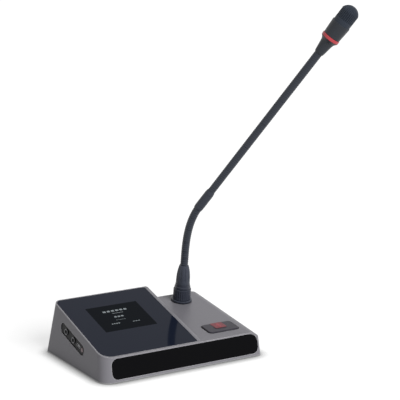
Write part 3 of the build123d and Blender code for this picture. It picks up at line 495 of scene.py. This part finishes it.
def turnedPiece(name, outline, place, finishName, body, stands, sides, closed=False, carve=None):
    # a turned piece: the outline goes round the place's z, and carve gives how deep it is cut at an angle and height
    corners, faces = [], []
    for point in outline:
        for k in range(sides):
            angle = 2 * math.pi * k / sides
            radius = point.x - (carve(angle, point.y, point.x) if carve else 0)
            corners.append(place @ (Vector((radius * math.cos(angle), radius * math.sin(angle), point.y)) * mm))
    rows = len(outline)
    for row in range(rows if closed else rows - 1):
        low, high = row * sides, (row + 1) % rows * sides
        for k in range(sides):
            after = (k + 1) % sides
            faces.append((low + k, low + after, high + after, high + k))
    return addPiece(name, corners, faces, finishName, body, stands)


def eased(x):
    # a smooth step from 0 to 1
    x = min(1, max(0, x))
    return x * x * (3 - 2 * x)


def platePiece(name, outlines, place, thickness, finishName, body, stands=(), sunk=0.05):
    # thin plates lying on a surface: their outlines in mm in the place's own x and y
    corners, faces = [], []
    for outline in outlines:
        first, count = len(corners), len(outline)
        corners += [place @ (Vector((x, y, z)) * mm) for z in (-sunk, thickness) for x, y in outline]
        faces += [tuple(first + k for k in range(count))[::-1], tuple(first + count + k for k in range(count))]
        for k in range(count):
            after = first + (k + 1) % count
            faces.append((first + k, after, after + count, first + count + k))
    return addPiece(name, corners, faces, finishName, body, stands, smooth=False)


def roundedPlate(width, length, radius, middle=(0, 0), steps=6):
    # the outline of a rectangle with round corners
    outline = []
    for quarter, (sx, sy) in enumerate(((1, 1), (-1, 1), (-1, -1), (1, -1))):
        for step in range(steps + 1):
            angle = math.pi / 2 * (quarter + step / steps)
            outline.append((
                middle[0] + sx * (width / 2 - radius) + radius * math.cos(angle),
                middle[1] + sy * (length / 2 - radius) + radius * math.sin(angle),
            ))
    return outline


# Display: a dark pane in the glass with plain blocks where its words would be
display = {
    "shownShare": (0.9, 0.87),  # across and along, of the panel under the glass
    "proud": 0.03,
    "corner": 0.8,
    "markProud": 0.06,
    "blockShare": 0.74,  # how much of its room along the row a block fills
    "blockRounding": 0.3,  # of its shorter side
    "blockSteps": 2,
    # middle across and up, width, height and number of blocks of each row, mm from the pane's middle
    "rows": [
        (-1.3, 13.4, 31.0, 3.0, 6), (-0.1, 8.3, 13.5, 0.6, 1), (-2.3, 1.0, 12.5, 2.6, 3), (-3.1, -5.4, 12.0, 0.5, 5),
        (-12.7, -11.8, 10.7, 1.6, 4), (12.1, -13.0, 9.6, 1.1, 3),
    ],
}


def makeDisplay():
    glassTop, glassUp = topFacing("glass_panel")
    paneLow, paneHigh = (Vector(corner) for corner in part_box("display_panel"))
    middle = (paneLow + paneHigh) / 2
    middle += glassUp * (glassTop - middle).dot(glassUp)
    place = axisPlace(middle, glassUp, Vector((1, 0, 0)))
    up = place.to_3x3() @ Vector((0, 1, 0))
    reach = heightsAlong("display_panel", middle, up)
    width = (paneHigh.x - paneLow.x) / mm * display["shownShare"][0]
    length = (reach[1] - reach[0]) / mm * display["shownShare"][1]
    place = axisPlace(middle + up * (reach[0] + reach[1]) / 2, glassUp, Vector((1, 0, 0)))
    platePiece(
        "display_pane", [roundedPlate(width, length, display["corner"])], place, display["proud"],
        "displayPane", "base",
    )
    for number, (x, y, rowWidth, rowHeight, blocks) in enumerate(display["rows"], 1):
        room = rowWidth / blocks
        block = room * display["blockShare"] if blocks > 1 else rowWidth
        rounding = min(block, rowHeight) * display["blockRounding"]
        middles = [(x + (k - (blocks - 1) / 2) * room, y) for k in range(blocks)]
        platePiece(
            f"display_row_{number}",
            [roundedPlate(block, rowHeight, rounding, middle, display["blockSteps"]) for middle in middles],
            place, display["markProud"], "displayMark", "base",
        )


makeDisplay()
print("display made")

# Talk button: a red lens with a plain sign of a microphone, in mm
talkLens = {
    "width": 14.5,
    "length": 14.0,
    "corner": 1.8,
    "middle": (-0.35, 2.6),  # mm from the middle of the button
    "proud": 0.10,
    "signProud": 0.16,
    # the sign's parts: width, length and rounding
    "capsule": (3.4, 6.2, 1.6),
    "stem": (0.8, 1.9, 0.1),
    "foot": (4.4, 0.8, 0.3),
    "capsuleUp": 1.7,
    "cradle": (2.4, 3.2),  # inner and outer radius of the arc under the capsule
    "stemOverlap": 0.2,
}


def arcOutline(inner, outer, middle, steps=16):
    # the lower half of a ring, with straight ends
    angles = [math.pi * (1 + k / steps) for k in range(steps + 1)]
    rim = [(middle[0] + outer * math.cos(a), middle[1] + outer * math.sin(a)) for a in angles]
    hollow = [(middle[0] + inner * math.cos(a), middle[1] + inner * math.sin(a)) for a in reversed(angles)]
    return rim + hollow


def makeTalkLens():
    top, up = topFacing("talk_button")
    place = axisPlace(top, up, Vector((1, 0, 0)))
    x, y = talkLens["middle"]
    platePiece(
        "talk_lens", [roundedPlate(talkLens["width"], talkLens["length"], talkLens["corner"], (x, y))], place,
        talkLens["proud"], "lampRed", "talk_button", stands=["button_lamp"],
    )
    width, length, corner = talkLens["capsule"]
    inner, outer = talkLens["cradle"]
    bowl = y + talkLens["capsuleUp"] - (length - width) / 2
    stemWidth, stemLength, stemCorner = talkLens["stem"]
    footWidth, footLength, footCorner = talkLens["foot"]
    stemWhole = stemLength + talkLens["stemOverlap"]
    foot = bowl - outer - stemLength
    platePiece(
        "talk_sign", [
            roundedPlate(width, length, corner, (x, y + talkLens["capsuleUp"])),
            arcOutline(inner, outer, (x, bowl)),
            roundedPlate(stemWidth, stemWhole, stemCorner, (x, foot + stemLength / 2), steps=1),
            roundedPlate(footWidth, footLength, footCorner, (x, foot - footLength / 2), steps=2),
        ],
        place, talkLens["signProud"], "lampSign", "talk_button",
    )


makeTalkLens()
print("talk button made")

# Headphone sockets: a bright collar round the bore of each, its corners (radius, height, rounding) in mm
jackCollar = {
    "outline": [(2.3, 0, 0), (3.4, 0, 0), (3.4, 0.65, 0.42), (2.3, 0.65, 0.42)],
    "cornerSteps": 5,
    "sides": 40,
}


def makeJackCollars():
    for mount in frame["record"]["mounts"]:
        if mount["name"].startswith("headphone_"):
            end = mount["name"].split("_")[1]
            bore = Vector(mount["pos_m"])
            out = Vector(mount["axis"]).normalized()
            top = heightsAlong(f"headphone_jack_{end}", bore, out)[1]
            turnedPiece(
                f"jack_collar_{end}",
                softOutline(jackCollar["outline"], closed=True, steps=jackCollar["cornerSteps"]),
                axisPlace(bore, out, Vector((0, 0, 1)), top), "jackChrome", "base", (),
                jackCollar["sides"], closed=True,
            )


makeJackCollars()
print("headphone sockets made")

# Link sockets at the rear: sprung contacts that slope down from the roof of each mouth
contacts = {
    "count": 8,
    "pitch": 1.02,
    "wire": 0.46,
    "roof": 9.7,  # mm above the socket's foot
    # a contact's line from its root to its tip: mm inside the face and mm under the roof
    "line": [(2.0, 0.15), (3.2, 0.25), (11.0, 2.6), (11.8, 2.65)],
}


def makeContacts(nodeName):
    low, high = (Vector(corner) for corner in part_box(nodeName))
    middle = (low.x + high.x) / 2
    half = contacts["wire"] / 2 * mm
    corners, faces = [], []
    for number in range(contacts["count"]):
        x = middle + (number - (contacts["count"] - 1) / 2) * contacts["pitch"] * mm
        first = len(corners)
        for depth, drop in contacts["line"]:
            y = high.y - depth * mm
            z = low.z + (contacts["roof"] - drop) * mm
            corners += [
                (x - half, y, z - half), (x + half, y, z - half), (x + half, y, z + half), (x - half, y, z + half),
            ]
        last = len(corners) - 4
        for ring in range(first, last, 4):
            for k in range(4):
                a, b = ring + k, ring + (k + 1) % 4
                faces.append((a, b, b + 4, a + 4))
        faces += [(first, first + 1, first + 2, first + 3), (last, last + 3, last + 2, last + 1)]
    addPiece(f"{nodeName}_contacts", corners, faces, "pinGold", "base", smooth=False)


for socketName in ("rear_socket_in", "rear_socket_out"):
    makeContacts(socketName)
print("link sockets made")

# Microphone plug, from the flange on the deck up to the grip: corners are (radius, height, rounding) in mm
plug = {
    "flange": [(7.2, 0, 0), (11.9, 0, 0), (11.9, 3.0, 1.1), (7.2, 3.0, 0.4)],
    "ring": [
        (8.25, 1.0, 0.1), (9.05, 1.0, 0.1), (9.05, 0, 0.1), (10.1, 0, 0.5), (10.1, 12.45, 0.7), (8.25, 12.45, 0.3),
    ],
    "ringFlutes": 24,
    "ringFluteDepth": 0.5,
    "ringFluteShare": 0.42,  # how much of the way round the flutes take
    "ringFluteSpan": (0.9, 11.6),  # from and to this height
    "ringFluteInner": 9.6,  # nothing is cut nearer to the axis
    "core": [
        (0, 0, 0), (7.0, 0, 0.3), (7.0, 2.75, 0), (8.9, 2.75, 0), (8.9, 3.55, 0), (8.1, 3.55, 0), (8.1, 15.35, 0),
        (9.1, 15.35, 0.3), (9.1, 18.35, 0.6), (8.4, 18.35, 0.2), (8.4, 20.75, 0.2), (0, 20.75, 0),
    ],
    "grip": [(4.4, 0, 0), (8.1, 0, 0.5), (7.82, 9.5, 3.0), (7.04, 16.0, 3.0), (5.3, 22.6, 0.8), (4.4, 22.6, 0)],
    "gripFlutes": 10,
    "gripFluteDepth": 0.5,
    "gripFluteShare": 0.3,
    "gripFluteFrom": 3.0,
    "gripFluteEnd": 1.5,  # under the top
    "gripFluteFade": 3,  # the length over which a flute runs out
    "gripFluteInner": 4.8,
    "longestRun": 0.9,
    "sides": {"flange": 72, "ring": 192, "core": 72, "grip": 120},
}


def fluted(angle, count, share):
    # 1 in the middle of a flute and 0 on the land between two
    away = abs((angle * count / (2 * math.pi)) % 1 - 0.5) * 2
    return math.sqrt(max(0, 1 - (away / share) ** 2)) if away < share else 0


def ringCut(angle, height, radius):
    low, high = plug["ringFluteSpan"]
    if radius < plug["ringFluteInner"] or not low < height < high:
        return 0
    return plug["ringFluteDepth"] * fluted(angle, plug["ringFlutes"], plug["ringFluteShare"])


def gripCut(angle, height, radius):
    if radius < plug["gripFluteInner"]:
        return 0
    top = plug["grip"][-1][1] - plug["gripFluteEnd"]
    fade = plug["gripFluteFade"]
    along = eased((height - plug["gripFluteFrom"]) / fade) * eased((top - height) / fade)
    return plug["gripFluteDepth"] * along * fluted(angle, plug["gripFlutes"], plug["gripFluteShare"])


def makePlug():
    for name, key, slotName, finishName, body, cut in (
        ("mic_socket_flange", "flange", "mic_metal", "micSatin", "base", None),
        ("lock_ring", "ring", "mic_metal", "micSatin", "lock_ring", ringCut),
        ("plug_body", "core", "mic_metal", "micSatin", "mic_plug", None),
        ("plug_grip", "grip", "grip_rubber", "gripRubber", "mic_plug", gripCut),
    ):
        low = heightsAlong(name, micFoot, deckUp)[0]
        isRing = key in ("flange", "ring")
        outline = softOutline(plug[key], closed=isRing)
        if cut:
            outline = dividedOutline(outline, plug["longestRun"])
        turnedPiece(
            f"{name}_turned", outline, axisPlace(micFoot, deckUp, bendAxis, low), finishName, body,
            [name], plug["sides"][key], closed=isRing, carve=cut,
        )


makePlug()
print("microphone plug made")

# Gooseneck: one wound tube for each joint, from the middle of one link to the middle of the next, in mm
gooseneck = {
    "lowerRadii": (4.5, 4.5),  # at its foot and at its top
    "upperRadii": (4.3, 4.65),
    "pitch": 2.4,  # one turn of the winding
    "groove": 0.3,
    "rowsPerTurn": 6,
    "fewestRows": 4,
    "sides": 24,
    "hidden": 3.0,  # how far its ends go into the grip, the sleeve and the head's cone
}


def neckRoute(start, middle, end, rows):
    # a smooth bend from start to end that leaves along the lines to the joint between them
    points, ways = [], []
    for row in range(rows + 1):
        t = row / rows
        points.append(start * (1 - t) ** 2 + middle * (2 * t * (1 - t)) + end * t ** 2)
        ways.append(((middle - start) * (1 - t) + (end - middle) * t).normalized())
    return points, ways


def makeNeckPiece(name, ends, radii, turned, stands):
    # turned counts the turns of the winding below this piece, so that it runs on over the joints
    start, middle, end = ends
    span = (middle - start).length + (end - middle).length
    pitch, sides = gooseneck["pitch"] * mm, gooseneck["sides"]
    rows = max(gooseneck["fewestRows"], round(span / pitch * gooseneck["rowsPerTurn"]))
    points, ways = neckRoute(start, middle, end, rows)
    corners, faces = [], []
    for row, (point, way) in enumerate(zip(points, ways)):
        if row:
            turned += (point - points[row - 1]).length / pitch
        radius = radii[0] + (radii[1] - radii[0]) * row / rows
        beside = way.cross(bendAxis)
        for k in range(sides):
            angle = 2 * math.pi * k / sides
            wire = abs(math.sin(math.pi * turned - angle / 2))
            reach = (radius - gooseneck["groove"] * (1 - wire)) * mm
            corners.append(point + (bendAxis * math.cos(angle) + beside * math.sin(angle)) * reach)
    for row in range(rows):
        for k in range(sides):
            after = (k + 1) % sides
            faces.append((row * sides + k, row * sides + after, (row + 1) * sides + after, (row + 1) * sides + k))
    faces.append(tuple(range(sides))[::-1])
    faces.append(tuple(rows * sides + k for k in range(sides)))
    piece = addPiece(name, corners, faces, "neckMetal", None, stands)
    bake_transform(piece)
    return turned


def makeNeck(half, first, last, start, end, radii):
    # start and end are where this half of the neck comes out of its neighbours
    turned = 0.0
    low, lowRadius = start, radii[0]
    whole = (end - start).length
    for number in range(first, last + 1):
        high = (hinges[number] + hinges[number + 1]) / 2 if number < last else end
        highRadius = radii[0] + (radii[1] - radii[0]) * min(1, (high - start).length / whole)
        place = number - first + 1
        stands = [f"{half}_neck_{place}"] + ([f"{half}_neck_{place + 1}"] if number == last else [])
        turned = makeNeckPiece(
            f"{half}_neck_wound_{place}", (low, hinges[number], high), (lowRadius, highRadius),
            turned, stands,
        )
        low, lowRadius = high, highRadius


def makeGooseneck():
    hidden = gooseneck["hidden"] * mm
    gripTop = heightsAlong("plug_grip", micFoot, deckUp)[1]
    sleeveLow, sleeveHigh = heightsAlong("coupling_sleeve", armFoot, armUp)
    coneLow = heightsAlong("head_cone", headFoot, headUp)[0]
    makeNeck(
        "lower", 0, lowerCount - 1, micFoot + deckUp * (gripTop - hidden), armFoot + armUp * (sleeveLow + hidden),
        gooseneck["lowerRadii"],
    )
    makeNeck(
        "upper", lowerCount, len(hinges) - 1, armFoot + armUp * (sleeveHigh - hidden),
        headFoot + headUp * (coneLow + hidden), gooseneck["upperRadii"],
    )


makeGooseneck()
print("gooseneck made")

# Sleeve between the two necks: corners are (radius, height, rounding) in mm
sleeveShape = {
    "outline": [
        (3.4, 0, 0), (4.75, 0, 0.5), (5.25, 3.2, 1.6), (5.2, 23.2, 1.6), (4.65, 26.4, 0.5), (3.4, 26.4, 0),
    ],
    "bandAt": (5.2, 21.2),  # the middles of two turned grooves, mm up the sleeve
    "bandDepth": 0.22,
    "bandWidth": 0.7,
    "bandInner": 5,  # nothing is cut nearer to the axis
    "longestRun": 0.35,
    "sides": 56,
}


def sleeveCut(angle, height, radius):
    if radius <= sleeveShape["bandInner"]:
        return 0
    near = min(abs(height - middle) for middle in sleeveShape["bandAt"])
    return sleeveShape["bandDepth"] * eased(1 - near / sleeveShape["bandWidth"])


def makeSleeve():
    low = heightsAlong("coupling_sleeve", armFoot, armUp)[0]
    outline = dividedOutline(softOutline(sleeveShape["outline"]), sleeveShape["longestRun"])
    turnedPiece(
        "coupling_sleeve_turned", outline, axisPlace(armFoot, armUp, bendAxis, low), "micSatin",
        "mid_link", ["coupling_sleeve"], sleeveShape["sides"], carve=sleeveCut,
    )


makeSleeve()
print("sleeve made")

# Microphone head, from its cone to the grille: corners are (radius, height, rounding) in mm
head = {
    "cone": [(4.0, 0, 0), (5.15, 0, 0.6), (5.7, 2.6, 1.0), (7.5, 15.9, 2.5), (10.6, 19.5, 0.4), (8.4, 19.5, 0)],
    "ring": [(8.4, 0, 0), (10.6, 0, 0.5), (10.6, 3.4, 0.5), (8.4, 3.4, 0)],
    "body": [(8.4, 0, 0), (9.9, 0, 0.4), (11.0, 17.4, 0.7), (9.9, 17.4, 0.2), (9.9, 16.4, 0)],
    "sides": 72,
    "grilleRadius": 10.2,
    "grilleLength": 22.5,
    "grilleDome": 11.0,
    "domeSteps": 14,
    "longestRun": 0.8,
    "slots": 30,
    "sidesPerSlot": 10,
    "slotShare": 0.46,  # of the pitch
    "slotEdge": 0.08,  # of the pitch, half the width over which a slot's side slopes
    "slotFrom": 4.5,
    "slotFade": 0.8,  # the height over which a slot gets its depth
    "slotDepth": 0.9,
    "slotInnerRadius": 2.8,
    "slotInnerFade": 1.2,
}


def grilleOutline():
    # a straight wall that goes over into a cap of a sphere
    dome = head["grilleDome"]
    middle = head["grilleLength"] - dome
    wallTop = math.acos(head["grilleRadius"] / dome)
    wall = [Vector((head["grilleRadius"], height)) for height in (0, middle + dome * math.sin(wallTop))]
    outline = dividedOutline(wall, head["longestRun"])
    for step in range(1, head["domeSteps"] + 1):
        angle = wallTop + (math.pi / 2 - wallTop) * step / head["domeSteps"]
        outline.append(Vector((dome * math.cos(angle), middle + dome * math.sin(angle))))
    return outline


def grilleCut(angle, height, radius):
    inner, edge = head["slotInnerRadius"], head["slotEdge"]
    if radius < inner or height < head["slotFrom"]:
        return 0
    turn = (angle * head["slots"] / (2 * math.pi) + 0.5) % 1 - 0.5
    inSlot = eased((head["slotShare"] / 2 + edge - abs(turn)) / (2 * edge))
    upSlot = eased((height - head["slotFrom"]) / head["slotFade"])
    return head["slotDepth"] * inSlot * upSlot * eased((radius - inner) / head["slotInnerFade"])


def makeHead():
    for name, key, slotName, finishName in (
        ("head_cone", "cone", "head_plastic", "headPlastic"),
        ("light_ring", "ring", "lamp_red", "ringRed"),
        ("head_body", "body", "head_plastic", "headPlastic"),
    ):
        low = heightsAlong(name, headFoot, headUp)[0]
        turnedPiece(
            f"{name}_turned", softOutline(head[key]), axisPlace(headFoot, headUp, bendAxis, low), finishName,
            "head", [name], head["sides"],
        )
    low = heightsAlong("grille_cap", headFoot, headUp)[0]
    turnedPiece(
        "grille_cap_slotted", grilleOutline(), axisPlace(headFoot, headUp, bendAxis, low), "grilleMetal",
        "head", ["grille_cap"], head["slots"] * head["sidesPerSlot"], carve=grilleCut,
    )


makeHead()
print("microphone head made")

# Studio: a pale floor, a broad soft sun from the front and a white surround, in metres
studio = {
    "floorSize": 60.0,
    "floorColour": 0.5,
    "floorShown": 0.40,  # how much of the shadow the camera sees
    "floorLift": 0.71,
    "contactReach": 0.014,  # how far from the object the floor is darkened by it
    "contactFrom": 0.5,  # the open share of the sky at which it is darkest
    "contactShade": 0.26,
    "contactSamples": 8,
    "surround": 0.23,
    "sunStrength": 4.6,
    "sunFrom": (0.12, -0.88, 0.46),
    "sunAngle": 40,  # degrees across
}


def cameraSeen(nodes, links):
    # true for rays that show the surround itself: straight from the camera, mirrored or let through
    light = nodes.new("ShaderNodeLightPath")
    seen = mathNode(nodes, links, "MAXIMUM", light.outputs["Is Camera Ray"], light.outputs["Is Glossy Ray"])
    return mathNode(nodes, links, "MAXIMUM", seen, light.outputs["Is Transmission Ray"])


def makeFloor():
    half = studio["floorSize"] / 2
    mesh = bpy.data.meshes.new("floor")
    mesh.from_pydata([(-half, -half, 0), (half, -half, 0), (half, half, 0), (-half, half, 0)], [], [(0, 1, 2, 3)])
    floor = bpy.data.objects.new("floor", mesh)
    bpy.context.scene.collection.objects.link(floor)
    material = bpy.data.materials.new("paleFloor")
    material.use_nodes = True
    nodes, links = material.node_tree.nodes, material.node_tree.links
    nodes.clear()
    seen = cameraSeen(nodes, links)
    near = nodes.new("ShaderNodeAmbientOcclusion")
    near.samples = studio["contactSamples"]
    near.inputs["Distance"].default_value = studio["contactReach"]
    contact = nodes.new("ShaderNodeMapRange")
    contact.inputs["From Min"].default_value = studio["contactFrom"]
    contact.inputs["To Min"].default_value = studio["contactShade"]
    links.new(near.outputs["AO"], contact.inputs["Value"])
    shown = nodes.new("ShaderNodeMix")
    shown.data_type = "RGBA"
    shown.inputs["A"].default_value = (0, 0, 0, 1)
    shown.inputs["B"].default_value = (*[studio["floorShown"]] * 3, 1)
    links.new(contact.outputs["Result"], shown.inputs["Factor"])
    shade = nodes.new("ShaderNodeMix")
    shade.data_type = "RGBA"
    shade.inputs["A"].default_value = (*[studio["floorColour"]] * 3, 1)
    links.new(shown.outputs["Result"], shade.inputs["B"])
    links.new(seen, shade.inputs["Factor"])
    paint = nodes.new("ShaderNodeBsdfDiffuse")
    links.new(shade.outputs["Result"], paint.inputs["Color"])
    lift = nodes.new("ShaderNodeEmission")
    lifted = mathNode(nodes, links, "MULTIPLY", contact.outputs["Result"], studio["floorLift"])
    links.new(mathNode(nodes, links, "MULTIPLY", seen, lifted), lift.inputs["Strength"])
    both = nodes.new("ShaderNodeAddShader")
    links.new(paint.outputs[0], both.inputs[0])
    links.new(lift.outputs[0], both.inputs[1])
    out = nodes.new("ShaderNodeOutputMaterial")
    links.new(both.outputs[0], out.inputs["Surface"])
    mesh.materials.append(material)


def makeWorld():
    world = bpy.data.worlds.new("whiteSurround")
    bpy.context.scene.world = world
    world.use_nodes = True
    nodes, links = world.node_tree.nodes, world.node_tree.links
    background = nodes["Background"]
    background.inputs["Color"].default_value = (1, 1, 1, 1)
    seen = cameraSeen(nodes, links)
    dimmed = mathNode(nodes, links, "MULTIPLY", mathNode(nodes, links, "SUBTRACT", 1.0, seen), studio["surround"])
    links.new(mathNode(nodes, links, "ADD", dimmed, seen), background.inputs["Strength"])


def makeSun():
    data = bpy.data.lights.new("frontSun", "SUN")
    data.energy = studio["sunStrength"]
    data.angle = math.radians(studio["sunAngle"])
    sun = bpy.data.objects.new("frontSun", data)
    bpy.context.scene.collection.objects.link(sun)
    sun.visible_glossy = False  # no glare on the deck when seen from behind
    sun.rotation_euler = Vector(studio["sunFrom"]).to_track_quat("Z", "Y").to_euler()


makeFloor()
makeWorld()
makeSun()
bpy.context.scene.view_settings.view_transform = "Standard"
print("studio made")
